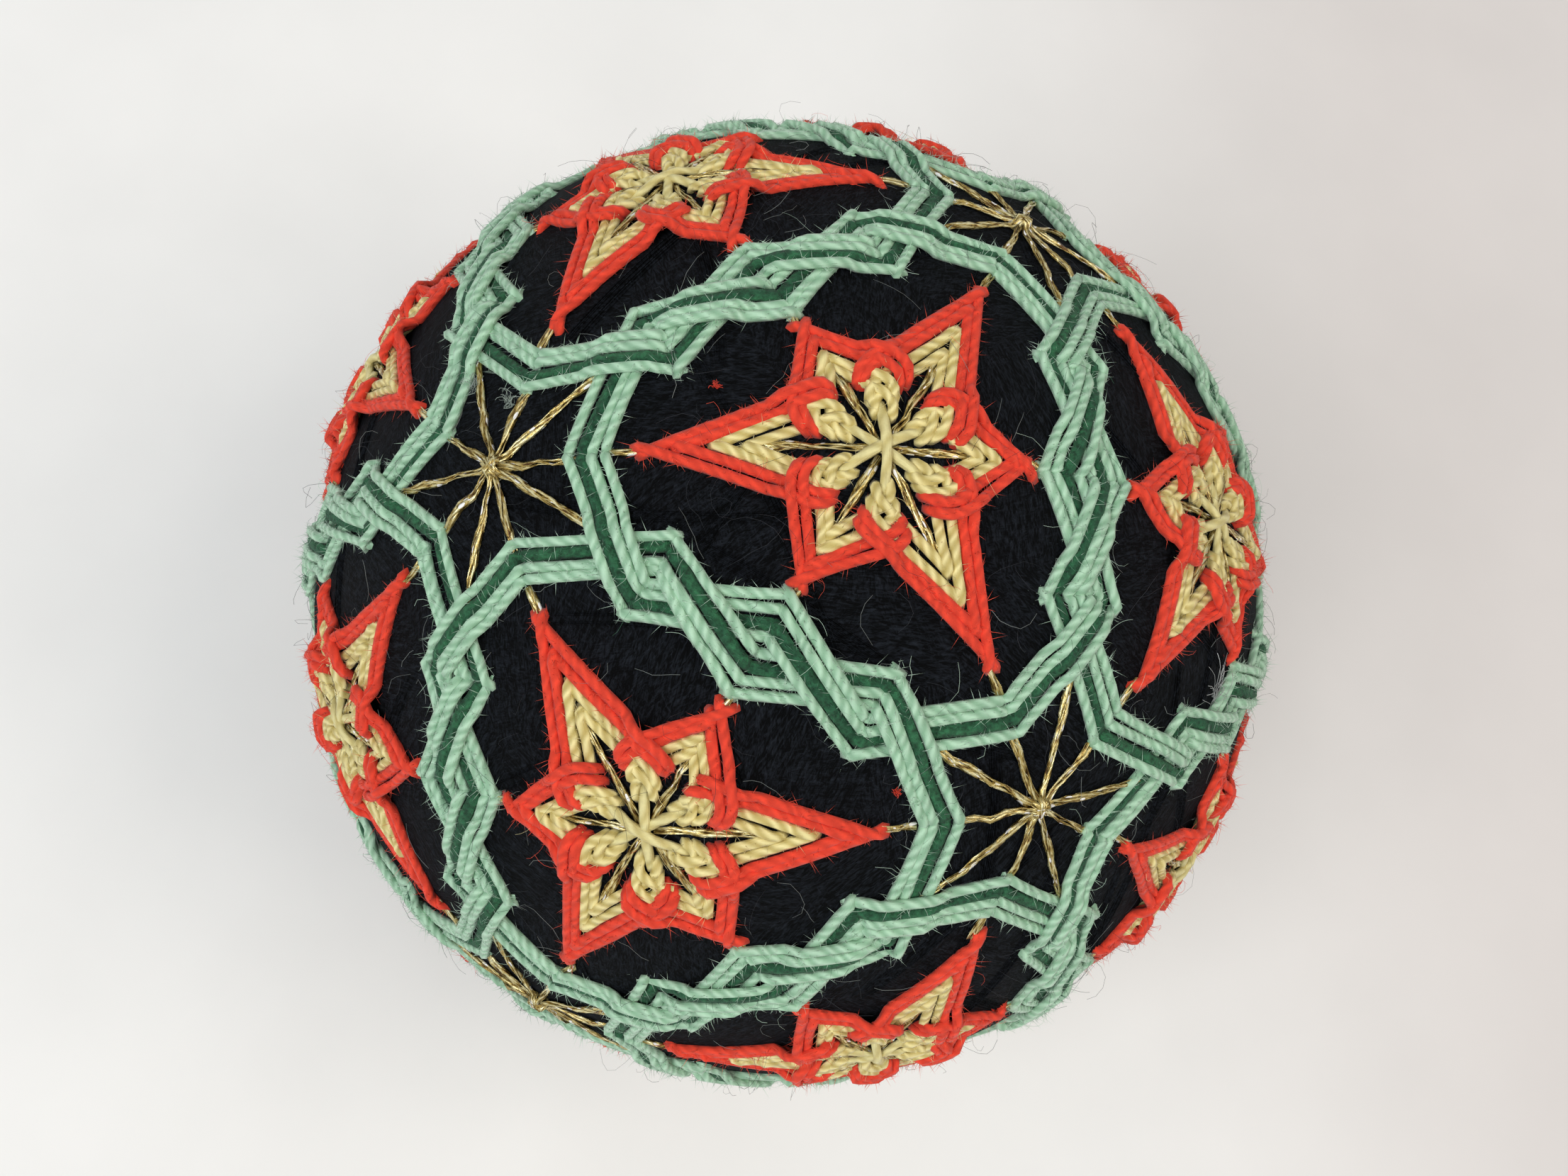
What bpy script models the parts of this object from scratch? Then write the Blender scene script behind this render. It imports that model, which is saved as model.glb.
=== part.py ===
"""Temari ball: a thread-wound ball stitched with twenty stars, each inside a ring of four thread rows.

Fifteen marked great circles divide the ball as an icosahedron does. Ten marking lines cross
at each of its twelve corners, called crossings here, and a star sits on each of its twenty
faces. A ring runs round every star and weaves over and under the rings of the three stars
beside it. Sizes are in millimetres, those along the surface are measured on the wound ball,
and all become metres where a mesh is made.
"""
import itertools
from math import cos, hypot, radians, sin, sqrt

import bmesh
import bpy
from mathutils import Matrix, Vector

MM = 0.001

# Wound ball, and the height of its centre over the surface on which its lowest star is pressed flat
BALL_RADIUS = 38.0
BALL_SUBDIVISIONS = 4
CENTRE_HEIGHT = 38.70

# Ring band: four thread rows side by side, each a ridge, with grooves between them
RING_ROWS = 4
DARK_ROW = 1
ROW_HEIGHT = 0.50
GROOVE_HEIGHT = 0.28
UNDER_LIFT = 0.35
OVER_LIFT = 1.25

# Ring corners: the band's outer edge lies away from its own star and its inner edge towards it.
# At a crossing both are distances from the crossing. At a far or near corner, "along" runs
# from the middle between two crossings towards one of them, and "across" towards the star.
RING_CORNERS = {
    "crossing": {"outer": 5.05, "inner": 8.10},
    "far": {"outer_along": 8.00, "outer_across": -3.15, "inner_along": 7.65, "inner_across": -0.50},
    "near": {"outer_along": 0.00, "outer_across": 0.50, "inner_along": 0.00, "inner_across": 3.55},
}

# Stations between two ring corners, as share of the way and height over the wound ball
OVER_FROM_CROSSING = ((0.45, OVER_LIFT), (0.87, OVER_LIFT))
OVER_FROM_NEAR = ((0.14, OVER_LIFT), (0.86, OVER_LIFT))
UNDER_PASS = ((0.50, UNDER_LIFT),)

# Star lines, from the outer edge in to the slots that show the ball. "long" and "short" are
# distances from the star's centre along the rays to the crossings and between them, "arm" is
# the distance to the pile of stitches between two rays, and "half" is half that pile's width.
# "point" and "pile" are heights over the star's underside at the rays and at the piles.
STAR_LINES = (
    {"line": "edge", "long": 14.80, "short": 9.80, "arm": 6.80, "half": 0.00, "point": 0.00, "pile": 0.00},
    {"line": "red ridge", "long": 12.95, "short": 8.75, "arm": 6.00, "half": 0.45, "point": 0.60, "pile": 0.75},
    {"line": "groove", "long": 11.10, "short": 7.70, "arm": 5.15, "half": 0.95, "point": 0.38, "pile": 0.85},
    {"line": "yellow ridge", "long": 9.20, "short": 6.60, "arm": 4.20, "half": 0.80, "point": 0.55, "pile": 0.80},
    {"line": "slot", "long": 7.30, "short": 5.60, "arm": 3.20, "half": 0.60, "point": 0.00, "pile": 0.00},
)
STAR_RAYS = 6
RED_STRIPS = 2
STAR_LIFT = 0.45
HUB_RADIUS = 1.50
HUB_HEIGHT = 0.55
HUB_CROTCH = 1.90

# Gold marking lines where they show at a crossing: five long and five short rays, tacked down
GOLD_RAYS = 10
GOLD_LONG_RAY = 7.60
GOLD_SHORT_RAY = 4.60
GOLD_LIFT = 0.42
GOLD_TACK_RADIUS = 0.90
GOLD_TACK_HEIGHT = 0.60
GOLD_RAY_HEIGHT = 0.32
GOLD_END_HALF_WIDTH = 0.22

# Folds sharper than this angle in degrees are shaded as edges
SHARP_FOLD = 30.0

# Each thread's colour, roughness and metallic value
THREADS = {
    "black_thread": {"colour": (0.008, 0.009, 0.013), "roughness": 0.90, "metallic": 0.0},
    "light_green_thread": {"colour": (0.330, 0.560, 0.430), "roughness": 0.70, "metallic": 0.0},
    "dark_green_thread": {"colour": (0.012, 0.095, 0.050), "roughness": 0.85, "metallic": 0.0},
    "red_thread": {"colour": (0.700, 0.035, 0.018), "roughness": 0.80, "metallic": 0.0},
    "yellow_thread": {"colour": (0.560, 0.470, 0.190), "roughness": 0.60, "metallic": 0.0},
    "gold_thread": {"colour": (0.550, 0.400, 0.160), "roughness": 0.30, "metallic": 0.9},
}


def clear_scene():
    """Removes every object in the scene."""
    for item in list(bpy.data.objects):
        bpy.data.objects.remove(item, do_unlink=True)


def make_thread(name):
    """Makes a thread's Principled material."""
    values = THREADS[name]
    material = bpy.data.materials.new(name)
    material.use_nodes = True
    shader = material.node_tree.nodes["Principled BSDF"]
    shader.inputs["Base Color"].default_value = (*values["colour"], 1.0)
    shader.inputs["Roughness"].default_value = values["roughness"]
    shader.inputs["Metallic"].default_value = values["metallic"]
    material.diffuse_color = (*values["colour"], 1.0)
    return material


def axes_at(direction, toward):
    """Turns +Z to a direction and +Y to the way from there towards another direction."""
    up = direction.normalized()
    forward = (toward - up * toward.dot(up)).normalized()
    return Matrix((forward.cross(up), forward, up)).transposed()


def icosahedron_corners():
    """Twelve unit directions, with a face centred on +Z and one of its corners over +Y."""
    golden = (1.0 + sqrt(5.0)) / 2.0
    corners = []
    for short, long in itertools.product((-1.0, 1.0), (-golden, golden)):
        corners.append(Vector((0.0, short, long)).normalized())
        corners.append(Vector((short, long, 0.0)).normalized())
        corners.append(Vector((long, 0.0, short)).normalized())
    upright = axes_at(Vector((golden, 0.0, 2.0 * golden + 1.0)), Vector((golden, 0.0, 1.0)))
    return [upright.transposed() @ corner for corner in corners]


def icosahedron_faces(corners):
    """Twenty corner triples, each anticlockwise from outside, from the top face to the bottom one."""
    neighbour_dot = 0.4
    faces = []
    for a, b, c in itertools.combinations(corners, 3):
        if min(a.dot(b), b.dot(c), c.dot(a)) < neighbour_dot:
            continue
        if (b - a).cross(c - a).dot(a) < 0.0:
            b, c = c, b
        faces.append((a, b, c))
    return sorted(faces, key=lambda face: -sum(face, Vector()).z)


def along_surface(anchor, toward, along, across):
    """Direction of the point that lies along and, to the left, across from an anchor direction."""
    axes = axes_at(anchor, toward)
    distance = hypot(along, across)
    if distance == 0.0:
        return axes @ Vector((0.0, 0.0, 1.0))
    angle = distance / BALL_RADIUS
    step = Vector((-across, along)) * (sin(angle) / distance)
    return axes @ Vector((step.x, step.y, cos(angle)))


def lifted(direction, height):
    """Point over the wound ball in a direction, from the ball's centre."""
    return direction.normalized() * (BALL_RADIUS + height)


def new_mesh(name, points, faces, materials):
    """Makes a closed mesh from points in millimetres and (corner numbers, material number) faces."""
    shape = bmesh.new()
    corners = [shape.verts.new(point * MM) for point in points]
    for numbers, material in faces:
        face = shape.faces.new([corners[number] for number in numbers])
        face.material_index = material
        face.smooth = True
    shape.normal_update()
    mesh = bpy.data.meshes.new(name)
    shape.to_mesh(mesh)
    shape.free()
    for material in materials:
        mesh.materials.append(material)
    mesh.set_sharp_from_angle(angle=radians(SHARP_FOLD))
    return mesh


def ring_corner(kind, crossing, following, way):
    """The band's outer and inner edge directions at a corner before (-1) or after (1) the middle."""
    sizes = RING_CORNERS[kind]
    middle = crossing + following
    outer = along_surface(middle, following, way * sizes["outer_along"], sizes["outer_across"])
    inner = along_surface(middle, following, way * sizes["inner_along"], sizes["inner_across"])
    return outer, inner


def ring_stations(corners):
    """Outer edge, inner edge and lift of every station, anticlockwise round one star."""
    star = sum(corners, Vector())
    at_crossing = RING_CORNERS["crossing"]
    stops = []
    for number, crossing in enumerate(corners):
        following = corners[(number + 1) % len(corners)]
        outer = along_surface(crossing, star, at_crossing["outer"], 0.0)
        inner = along_surface(crossing, star, at_crossing["inner"], 0.0)
        stops.append((outer, inner, OVER_FROM_CROSSING))
        stops.append((*ring_corner("far", crossing, following, -1), UNDER_PASS))
        stops.append((*ring_corner("near", crossing, following, 1), OVER_FROM_NEAR))
        stops.append((*ring_corner("far", crossing, following, 1), UNDER_PASS))
    stations = []
    for number, (outer, inner, passes) in enumerate(stops):
        next_outer, next_inner, _ = stops[(number + 1) % len(stops)]
        stations.append((outer, inner, UNDER_LIFT))
        for share, lift in passes:
            stations.append((outer.lerp(next_outer, share), inner.lerp(next_inner, share), lift))
    return stations


def ring_mesh(corners, materials):
    """Lofts the four-ridged band through its stations into one closed, interlacing ring."""
    lines = 2 * RING_ROWS
    points = []
    for outer, inner, lift in ring_stations(corners):
        for line in range(lines + 1):
            height = ROW_HEIGHT if line % 2 else GROOVE_HEIGHT
            if line in (0, lines):
                height = 0.0
            points.append(lifted(outer.lerp(inner, line / lines), lift + height))
    size = lines + 1
    faces = []
    for start in range(0, len(points), size):
        after = (start + size) % len(points)
        for line in range(size):
            beside = (line + 1) % size
            material = 1 if line // 2 == DARK_ROW else 0
            faces.append(((start + line, after + line, after + beside, start + beside), material))
    return new_mesh("ring", points, faces, materials)


def star_mesh(centre, crossing, materials):
    """Builds the domed six-pointed star, with slots beside its hub and raised stitch piles."""
    points = []
    last = len(STAR_LINES) - 1

    def place(turn, distance, half, height):
        angle = radians(turn)
        along = distance * cos(angle) - half * sin(angle)
        across = distance * sin(angle) + half * cos(angle)
        points.append(lifted(along_surface(centre, crossing, along, across), STAR_LIFT + height))
        return len(points) - 1

    tips = []
    rights = []
    lefts = []
    hubs = []
    crotches = []
    for ray in range(STAR_RAYS):
        turn = 360.0 / STAR_RAYS * ray
        pile_turn = turn + 180.0 / STAR_RAYS
        reach = "short" if ray % 2 else "long"
        tips.append([place(turn, line[reach], 0.0, line["point"]) for line in STAR_LINES])
        right = [place(pile_turn, line["arm"], -line["half"], line["pile"]) for line in STAR_LINES]
        left = [place(pile_turn, line["arm"], line["half"], line["pile"]) for line in STAR_LINES[1:]]
        rights.append(right)
        lefts.append([right[0], *left])
        hubs.append(place(pile_turn, HUB_RADIUS, 0.0, HUB_HEIGHT))
        crotches.append(place(turn, HUB_CROTCH, 0.0, 0.0))

    faces = [(hubs, 1), (crotches[::-1], 1)]
    for ray in range(STAR_RAYS):
        following = (ray + 1) % STAR_RAYS
        tip, next_tip = tips[ray], tips[following]
        right, left = rights[ray], lefts[ray]
        for line in range(last):
            material = 0 if line < RED_STRIPS else 1
            faces.append(((tip[line], right[line], right[line + 1], tip[line + 1]), material))
            faces.append(((left[line], next_tip[line], next_tip[line + 1], left[line + 1]), material))
            if 0 < line < last - 1:
                faces.append(((right[line], left[line], left[line + 1], right[line + 1]), material))
        faces.append(((right[0], left[1], right[1]), 0))
        faces.append(((right[last - 1], left[last - 1], hubs[ray]), 1))
        faces.append(((right[last - 1], hubs[ray], crotches[ray], right[last]), 1))
        faces.append(((left[last], crotches[following], hubs[ray], left[last - 1]), 1))
        faces.append(((hubs[ray - 1], crotches[ray], hubs[ray]), 1))
        faces.append(((tip[0], tip[last], right[last], right[0]), 0))
        faces.append(((left[0], left[last], next_tip[last], next_tip[0]), 0))
        faces.append(((right[0], right[last], left[last]), 0))
        faces.append(((left[last], right[last], crotches[ray], crotches[following]), 1))
    return new_mesh("star", points, faces, materials)


def gold_mesh(crossing, neighbour, materials):
    """Builds the ten short lengths of marking line at a crossing, with the tack on their middle."""
    points = [lifted(crossing, GOLD_LIFT + GOLD_TACK_HEIGHT)]
    rays = []
    crotches = []
    half_turn = 180.0 / GOLD_RAYS
    for ray in range(GOLD_RAYS):
        angle = radians(2.0 * half_turn * ray)
        crotch = radians(2.0 * half_turn * ray + half_turn)
        reach = GOLD_SHORT_RAY if ray % 2 else GOLD_LONG_RAY
        rays.append([])
        for half, height in ((-GOLD_END_HALF_WIDTH, 0.0), (GOLD_END_HALF_WIDTH, 0.0), (0.0, GOLD_RAY_HEIGHT)):
            along = reach * cos(angle) - half * sin(angle)
            across = reach * sin(angle) + half * cos(angle)
            rays[-1].append(len(points))
            points.append(lifted(along_surface(crossing, neighbour, along, across), GOLD_LIFT + height))
        crotches.append(len(points))
        side = along_surface(crossing, neighbour, GOLD_TACK_RADIUS * cos(crotch), GOLD_TACK_RADIUS * sin(crotch))
        points.append(lifted(side, GOLD_LIFT))

    faces = [(crotches[::-1], 0)]
    for ray, (right, left, ridge) in enumerate(rays):
        faces.append(((0, crotches[ray - 1], right, ridge), 0))
        faces.append(((0, ridge, left, crotches[ray]), 0))
        faces.append(((right, left, ridge), 0))
        faces.append(((crotches[ray - 1], crotches[ray], left, right), 0))
    return new_mesh("gold", points, faces, materials)


def place_piece(name, mesh, axes, collection, centre):
    """Adds one object whose mesh is turned by the given axes about the ball's centre."""
    piece = bpy.data.objects.new(name, mesh)
    collection.objects.link(piece)
    piece.parent = centre
    piece.matrix_local = axes.to_4x4()
    return piece


def pressed_flat(mesh, axes):
    """Copies a mesh, turned by the given axes, and presses what lies below the resting surface up to it."""
    pressed = mesh.copy()
    pressed.transform(axes.to_4x4())
    for vertex in pressed.vertices:
        vertex.co.z = max(vertex.co.z, -CENTRE_HEIGHT * MM)
    return pressed


def add_ball(material, collection, centre):
    """Adds the wound ball as a primitive about the ball's centre."""
    bpy.ops.mesh.primitive_ico_sphere_add(subdivisions=BALL_SUBDIVISIONS, radius=BALL_RADIUS * MM)
    ball = bpy.context.object
    ball.name = "wound_ball"
    for owner in ball.users_collection:
        owner.objects.unlink(ball)
    collection.objects.link(ball)
    ball.parent = centre
    ball.data.materials.append(material)
    ball.data.shade_smooth()


def main():
    """Winds the ball and stitches its stars, rings and marking lines."""
    clear_scene()
    threads = {name: make_thread(name) for name in THREADS}
    collection = bpy.data.collections.new("temari_ball")
    bpy.context.scene.collection.children.link(collection)
    centre = bpy.data.objects.new("ball_centre", None)
    centre.location = (0.0, 0.0, CENTRE_HEIGHT * MM)
    collection.objects.link(centre)
    add_ball(threads["black_thread"], collection, centre)

    corners = icosahedron_corners()
    faces = icosahedron_faces(corners)
    to_top = axes_at(sum(faces[0], Vector()), faces[0][0]).transposed()
    top = [to_top @ corner for corner in faces[0]]
    up, ahead = Vector((0.0, 0.0, 1.0)), Vector((0.0, 1.0, 0.0))
    ring = ring_mesh(top, (threads["light_green_thread"], threads["dark_green_thread"]))
    star = star_mesh(up, ahead, (threads["red_thread"], threads["yellow_thread"]))
    gold = gold_mesh(up, ahead, (threads["gold_thread"],))

    for number, face in enumerate(faces, 1):
        axes = axes_at(sum(face, Vector()), face[0])
        place_piece(f"ring_{number:02d}", ring, axes, collection, centre)
        if number < len(faces):
            place_piece(f"star_{number:02d}", star, axes, collection, centre)
        else:
            flat_star = pressed_flat(star, axes)
            place_piece(f"star_{number:02d}", flat_star, Matrix.Identity(3), collection, centre)
    for number, corner in enumerate(sorted(corners, key=lambda item: -item.z), 1):
        neighbour = max((other for other in corners if other != corner), key=corner.dot)
        place_piece(f"gold_{number:02d}", gold, axes_at(corner, neighbour), collection, centre)


main()
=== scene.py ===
"""Looks of the temari ball: its winding, marking lines, stars, rings and fuzz, thread by thread."""

from math import pi, radians, sqrt

import bpy
import numpy as np
from mathutils import Matrix, Vector, noise


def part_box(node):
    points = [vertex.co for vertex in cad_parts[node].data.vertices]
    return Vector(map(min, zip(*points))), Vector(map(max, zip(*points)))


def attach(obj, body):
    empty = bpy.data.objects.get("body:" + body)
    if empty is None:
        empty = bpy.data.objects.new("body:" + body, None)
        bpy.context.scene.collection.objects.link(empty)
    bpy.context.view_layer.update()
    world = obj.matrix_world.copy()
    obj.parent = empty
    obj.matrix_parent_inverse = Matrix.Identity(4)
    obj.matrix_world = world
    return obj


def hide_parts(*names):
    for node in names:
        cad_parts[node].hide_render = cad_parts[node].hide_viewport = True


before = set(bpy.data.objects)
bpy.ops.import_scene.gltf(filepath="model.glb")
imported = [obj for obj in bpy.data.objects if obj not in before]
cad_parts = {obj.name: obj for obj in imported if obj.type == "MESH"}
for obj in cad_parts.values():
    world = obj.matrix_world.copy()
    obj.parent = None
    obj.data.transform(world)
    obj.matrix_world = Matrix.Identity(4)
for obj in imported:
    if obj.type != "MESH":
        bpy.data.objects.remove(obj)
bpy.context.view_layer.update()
bpy.ops.object.select_all(action="DESELECT")

# The wound ball.
# A round core under yarn and then fine blue-black sewing thread, wound in every direction until
# nothing else shows. It is made as a slightly uneven ball, on which the last turns of thread lie.

# Sizes are in millimetres. The ball's centre, heights over the table, bump depths, the table and
# the lamps are in metres.
MM = 0.001
BALL_RADIUS = 38.0
BALL_LOW, BALL_HIGH = (np.array(corner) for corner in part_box("wound_ball"))
BALL_CENTRE = (BALL_LOW + BALL_HIGH) / 2.0
BALL_UNEVEN = 0.10
BALL_LUMP = 9.0
PRESSED_TOP = 0.0013
PRESSED_LOW = -0.00028
# Patches 4 to 10 mm wide, in each of which the thread runs its own way. Its streaks are 0.2 mm wide
# and 1 mm long, coarser than the real thread of 0.1 mm, which is too fine to show.
STREAK_PATCHES = (
    {"per_metre": 150.0, "seed": 0.0},
    {"per_metre": 230.0, "seed": 3.1},
    {"per_metre": 100.0, "seed": 7.7},
)
STREAKS_PER_METRE = (4400.0, 950.0, 1.0)
STREAK_DEPTH = 0.00035


def pressed(heights):
    """Heights in metres over the table, with the lowest millimetre squashed by the ball's weight."""
    squashed = PRESSED_TOP * (heights - PRESSED_LOW) / (PRESSED_TOP - PRESSED_LOW)
    return np.maximum(np.where(heights < PRESSED_TOP, squashed, heights), 0.0)


def linear(code):
    """Turns an sRGB hex colour into the linear colour that a shader takes."""
    parts = [int(code[start:start + 2], 16) / 255.0 for start in (1, 3, 5)]
    light = [part / 12.92 if part <= 0.04045 else ((part + 0.055) / 1.055) ** 2.4 for part in parts]
    return (*light, 1.0)


def add_node(material, kind, inputs=None, **settings):
    """Adds a node with its settings, and gives each input a value or a link."""
    node = material.node_tree.nodes.new(kind)
    for name, value in settings.items():
        setattr(node, name, value)
    for socket, value in (inputs or {}).items():
        if isinstance(value, bpy.types.NodeSocket):
            material.node_tree.links.new(value, node.inputs[socket])
        else:
            node.inputs[socket].default_value = value
    return node


def new_material(name):
    """Makes an empty material and returns it with its Principled shader."""
    material = bpy.data.materials.new(name)
    material.use_nodes = True
    return material, material.node_tree.nodes["Principled BSDF"]


def winding_cotton():
    """Blue-black sewing cotton: matte and felted, with broken streaks of thread at every angle, partly
    painted highlight along the threads and painted shade between them.
    """
    material, shader = new_material("blue_black_sewing_cotton")
    place = add_node(material, "ShaderNodeTexCoord").outputs["Object"]
    streaks = []
    for patch in STREAK_PATCHES:
        shift = Vector((patch["seed"], patch["seed"], patch["seed"]))
        moved = add_node(material, "ShaderNodeVectorMath", {0: place, 1: shift}, operation="ADD")
        cells = add_node(
            material, "ShaderNodeTexVoronoi", {"Vector": moved.outputs[0], "Scale": patch["per_metre"]})
        outward = add_node(
            material, "ShaderNodeVectorMath",
            {0: cells.outputs["Position"], 1: shift + Vector(BALL_CENTRE)}, operation="SUBTRACT")
        any_way = add_node(
            material, "ShaderNodeVectorMath", {0: cells.outputs["Color"], 1: (0.5, 0.5, 0.5)},
            operation="SUBTRACT")
        first = add_node(
            material, "ShaderNodeVectorMath", {0: any_way.outputs[0], 1: outward.outputs[0]},
            operation="CROSS_PRODUCT")
        second = add_node(
            material, "ShaderNodeVectorMath", {0: first.outputs[0], 1: outward.outputs[0]},
            operation="CROSS_PRODUCT")
        measures = []
        for way in (first, second):
            unit_way = add_node(
                material, "ShaderNodeVectorMath", {0: way.outputs[0]}, operation="NORMALIZE")
            measures.append(add_node(
                material, "ShaderNodeVectorMath", {0: place, 1: unit_way.outputs[0]},
                operation="DOT_PRODUCT"))
        pair = add_node(
            material, "ShaderNodeCombineXYZ",
            {"X": measures[0].outputs["Value"], "Y": measures[1].outputs["Value"]})
        stretched = add_node(
            material, "ShaderNodeMapping", {"Vector": pair.outputs[0], "Scale": STREAKS_PER_METRE})
        streak = add_node(
            material, "ShaderNodeTexNoise",
            {"Vector": stretched.outputs[0], "Scale": 1.0, "Detail": 2.0, "Roughness": 0.6,
             "Distortion": 1.4})
        streaks.append(streak.outputs["Fac"])
    both = add_node(material, "ShaderNodeMath", {0: streaks[0], 1: streaks[1]}, operation="MAXIMUM")
    lines = add_node(material, "ShaderNodeMath", {0: both.outputs[0], 1: streaks[2]}, operation="MULTIPLY")
    # Painted highlight and shade: the lighter colour lies along the streaks of thread, the near-black
    # between them.
    tone = add_node(
        material, "ShaderNodeMapRange", {"Value": lines.outputs[0], "From Min": 0.21, "From Max": 0.42})
    colour = add_node(material, "ShaderNodeMix", {0: tone.outputs[0]}, data_type="RGBA")
    colour.inputs[6].default_value = linear("#030405")
    colour.inputs[7].default_value = linear("#1f2329")
    bump = add_node(
        material, "ShaderNodeBump", {"Height": lines.outputs[0], "Strength": 1.0, "Distance": STREAK_DEPTH})
    links = material.node_tree.links
    links.new(colour.outputs[2], shader.inputs["Base Color"])
    links.new(bump.outputs["Normal"], shader.inputs["Normal"])
    shader.inputs["Roughness"].default_value = 0.9
    shader.inputs["Specular IOR Level"].default_value = 0.10
    return material


bpy.ops.mesh.primitive_ico_sphere_add(subdivisions=6, radius=BALL_RADIUS * MM, location=BALL_CENTRE)
ball = bpy.context.object
ball.name = "wound_thread_ball"
bpy.ops.object.transform_apply(location=True, rotation=False, scale=False)
for vertex in ball.data.vertices:
    outward = vertex.co - Vector(BALL_CENTRE)
    lump = noise.noise(outward / (BALL_LUMP * MM))
    vertex.co += outward.normalized() * (lump * BALL_UNEVEN * MM)
    vertex.co.z = float(pressed(vertex.co.z))
bpy.ops.object.shade_smooth()
winding = winding_cotton()
ball.data.materials.append(winding)
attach(ball, "root")
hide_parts("wound_ball")

# The last turns of the winding.
# Loose turns of the same fine thread that lie on the ball in small bands and cross at every
# angle, with their ends tucked under. They give the black ground its soft scratchy lines.

BANDS = 105
BAND_TURNS = 6
BAND_HALF = (7.0, 20.0)
BAND_BEND = 0.012
BAND_FAN = 0.006
TURN_SPACING = 0.17
TURN_SLIP = 0.06
END_SLIP = 2.0
TURN_HIGH = 0.06
TURN_DIVE = 3.0
TURN_SUNK = -0.25
TURN_WIDTHS = (0.7, 1.2)
LAST_TURN_RADIUS = 0.055
LAST_TURN_STEP = 2.2
TRIANGLE = ((LAST_TURN_RADIUS, 90.0), (LAST_TURN_RADIUS, 210.0), (LAST_TURN_RADIUS, 330.0))
SHORTEST_KNOT = 1e-6
PATTERN_SHIFT = 37.0
hand = np.random.default_rng(7)


def unit(vector):
    """Scales a vector, or each row of an array, to length one."""
    vector = np.asarray(vector, float)
    return vector / np.linalg.norm(vector, axis=-1, keepdims=True)


def eased(distance, knots):
    """Value at each distance, eased between (distance, value) knots. All are in millimetres."""
    stops = np.array([knot[0] for knot in knots], float)
    values = np.array([knot[1] for knot in knots], float)
    left = np.clip(np.searchsorted(stops, distance, side="right") - 1, 0, len(stops) - 2)
    lengths = np.maximum(stops[left + 1] - stops[left], SHORTEST_KNOT)
    share = np.clip((distance - stops[left]) / lengths, 0.0, 1.0)
    share = share * share * (3.0 - 2.0 * share)
    return values[left] + (values[left + 1] - values[left]) * share


def array_piece(name, corners, loops, sizes, material, marks=None):
    """Makes one mesh object from arrays, in millimetres from the ball's centre, and has it ride."""
    corners = corners.reshape(-1, 3) * MM + BALL_CENTRE
    corners[:, 2] = pressed(corners[:, 2])
    mesh = bpy.data.meshes.new(name)
    mesh.vertices.add(len(corners))
    mesh.vertices.foreach_set("co", corners.astype(np.float32).ravel())
    mesh.loops.add(len(loops))
    mesh.loops.foreach_set("vertex_index", loops.astype(np.int32))
    mesh.polygons.add(len(sizes))
    mesh.polygons.foreach_set("loop_start", np.concatenate(([0], np.cumsum(sizes)[:-1])).astype(np.int32))
    if marks is not None:
        mesh.uv_layers.new(name="thread").data.foreach_set("uv", marks.astype(np.float32).ravel())
    mesh.update(calc_edges=True)
    mesh.shade_smooth()
    piece = bpy.data.objects.new(name, mesh)
    bpy.context.scene.collection.objects.link(piece)
    piece.data.materials.append(material)
    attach(piece, "root")
    return piece


def thread_piece(name, courses, section, roll, material, flat=1.0, uneven=0.0):
    """Sweeps a section of (radius, angle) points along many courses and joins them in one piece.

    A course is (points in millimetres from the ball's centre, first angle, width). Roll is in
    turns per millimetre, flat the section's height over its width, and uneven the spread of the
    width from station to station. The UV map runs along the thread in millimetres, shifted from
    thread to thread so that no two look alike, and once round it.
    """
    reach = np.array([point[0] for point in section])
    angle = np.array([radians(point[1]) for point in section])
    count = len(section)
    around = np.arange(count)
    following = (around + 1) % count
    corners, loops, sizes, marks = [], [], [], []
    first = 0
    for number, (points, start, width) in enumerate(courses):
        ahead = unit(np.gradient(points, axis=0))
        side = unit(np.cross(ahead, unit(points)))
        up = np.cross(side, ahead)
        steps = np.linalg.norm(np.diff(points, axis=0), axis=1)
        run = np.concatenate(([0.0], np.cumsum(steps)))
        turned = start + 2.0 * pi * roll * run[:, None] + angle[None, :]
        wide = width * (1.0 + uneven * hand.normal(size=(len(points), 1)))
        x = wide * reach * np.cos(turned)
        y = wide * reach * np.sin(turned) * flat
        rims = points[:, None] + side[:, None] * x[..., None] + up[:, None] * y[..., None]
        corners.append(rims.reshape(-1, 3))
        stations = len(points)
        here = first + np.arange(stations - 1)[:, None] * count
        there = here + count
        quads = np.stack((here + around, there + around, there + following, here + following), -1)
        caps = np.concatenate((first + around, first + (stations - 1) * count + around[::-1]))
        loops.append(np.concatenate((quads.reshape(-1), caps)))
        sizes.append(np.concatenate((np.full(quads.shape[0] * count, 4), (count, count))))
        along = run + PATTERN_SHIFT * number
        low, high = along[:-1, None] + 0.0 * around, along[1:, None] + 0.0 * around
        v_here = np.broadcast_to(around / count, low.shape)
        v_next = v_here + 1.0 / count
        quad_marks = np.stack((low, v_here, high, v_here, high, v_next, low, v_next), -1).reshape(-1, 2)
        ends = np.stack((np.repeat((along[0], along[-1]), count), np.tile(around / count, 2)), -1)
        marks.append(np.concatenate((quad_marks, ends)))
        first += stations * count
    return array_piece(
        name, np.concatenate(corners), np.concatenate(loops), np.concatenate(sizes), material,
        np.concatenate(marks))


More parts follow.
